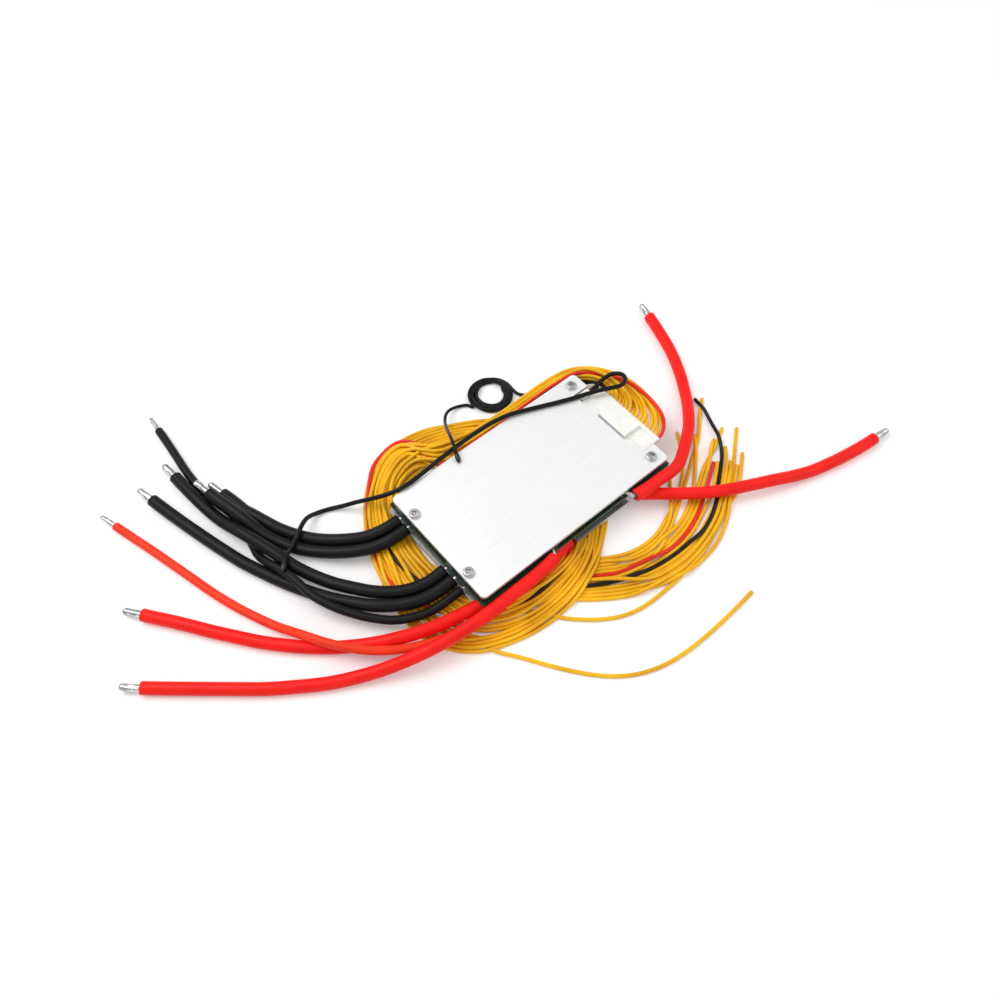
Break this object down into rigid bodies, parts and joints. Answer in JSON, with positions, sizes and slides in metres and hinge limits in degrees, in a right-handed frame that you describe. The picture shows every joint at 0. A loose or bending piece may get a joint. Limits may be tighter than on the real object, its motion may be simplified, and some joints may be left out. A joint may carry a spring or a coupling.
{
  "type": "battery management board",
  "caption": "Flat circuit board between two aluminium plates, with thick power leads to both sides, thin sensor cables and a coiled multi-wire balance harness plugged in at one end",
  "frame": {"origin": "the middle of the box around the plates, the screws and the balance plug, without the cables", "axes": "+X runs along the plates from the black leads' end to the balance plug, +Z points out of the cover plate, and +Y is the edge that the balance bundle runs along"},
  "size_m": [0.3864, 0.2832, 0.0222],
  "materials": {
    "cover": "pale brushed, satin",
    "plate": "satin",
    "board": "dark green solder mask, satin",
    "screws": "plated, satin",
    "spacers": "turned, satin",
    "moulded": "moulded, matt",
    "tinned": "tinned, bright",
    "pad": "matt",
    "ceramic": "matt",
    "connector": "moulded nylon, satin",
    "black_lead": "silicone, satin",
    "red_lead": "silicone, satin",
    "orange_lead": "silicone, satin",
    "sensor_cable": "satin",
    "yellow": "smooth",
    "red_wire": "smooth",
    "black_wire": "smooth"
  },
  "bodies": {
    "root": {"cover_plate": "cover", "base_plate": "plate", "circuit_board": "board", "cover_screws": "screws", "upper_spacers": "spacers", "lower_spacers": "spacers", "power_transistors": "moulded", "transistor_metal": "tinned", "thermal_pad": "pad", "shunt_resistors": "tinned", "bus_bars": "tinned", "balance_resistors": "moulded", "balance_transistors": "moulded", "monitor_chip": "moulded", "driver_chips": "moulded", "capacitors": "ceramic", "balance_header": "connector", "header_pins": "tinned", "balance_plug": "connector", "crimp_terminals": "tinned", "sensor_socket": "connector", "lead_joints": "tinned", "black_lead_1": "black_lead", "black_lead_2": "black_lead", "black_lead_3": "black_lead", "black_lead_4": "black_lead", "thin_black_lead": "black_lead", "red_lead_1": "red_lead", "red_lead_2": "red_lead", "red_lead_3": "red_lead", "red_lead_4": "red_lead", "orange_lead": "orange_lead", "tinned_ends": "tinned", "sensor_cable_a": "sensor_cable", "sensor_cable_b": "sensor_cable", "sensor_coil_b": "sensor_cable", "sensor_tail_b": "sensor_cable", "sensor_beads": "sensor_cable", "wire_bundle": "yellow", "wire_coil": "yellow", "yellow_wires": "yellow", "red_wire": "red_wire", "black_wire": "black_wire", "loose_wire": "yellow"}
  },
  "joints": []
}
